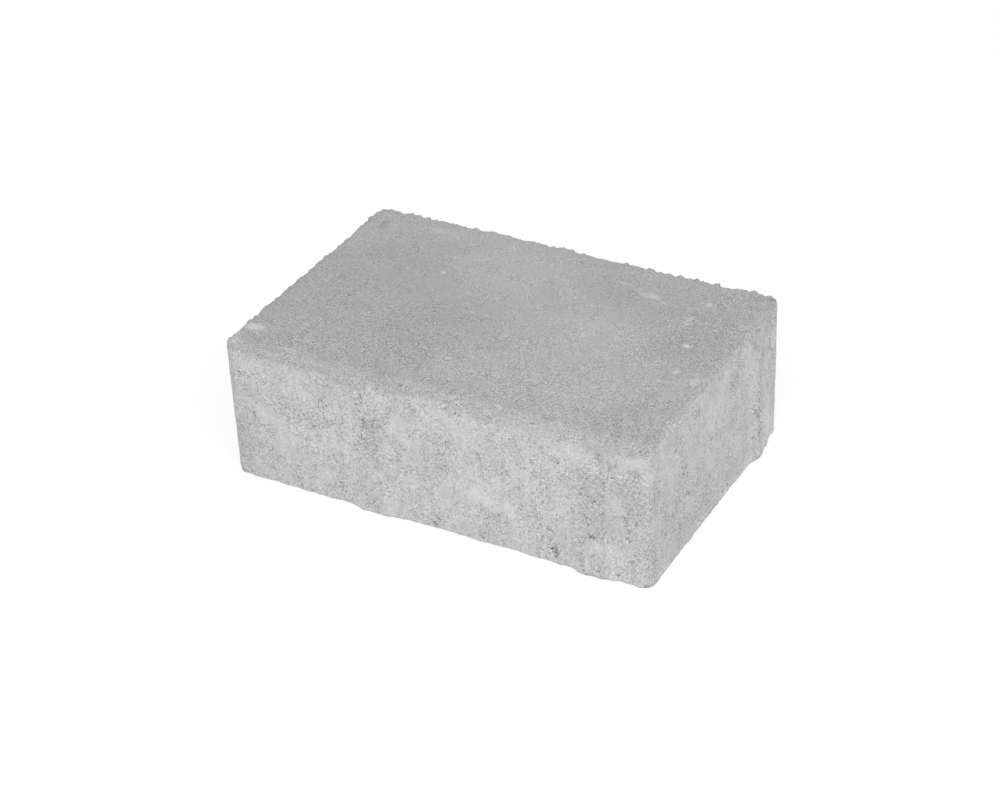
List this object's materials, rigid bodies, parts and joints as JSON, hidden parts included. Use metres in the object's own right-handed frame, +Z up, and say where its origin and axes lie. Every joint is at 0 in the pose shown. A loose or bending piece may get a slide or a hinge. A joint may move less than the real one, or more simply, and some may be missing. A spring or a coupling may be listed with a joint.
{
  "type": "concrete paving stone",
  "caption": "Rectangular pressed concrete paving stone with sharp top edges, rounded upright corners and low spacer nibs on its sides.",
  "frame": {"origin": "middle of the underside, on the surface that the stone lies on", "axes": "+X along the stone's length, +Y along its width, +Z up through the walking face"},
  "size_m": [0.212, 0.142, 0.07],
  "materials": {
    "concrete": "matte, fine sandy grain with small pores, as pressed"
  },
  "bodies": {
    "root": {"paving_stone": "concrete"}
  },
  "joints": []
}
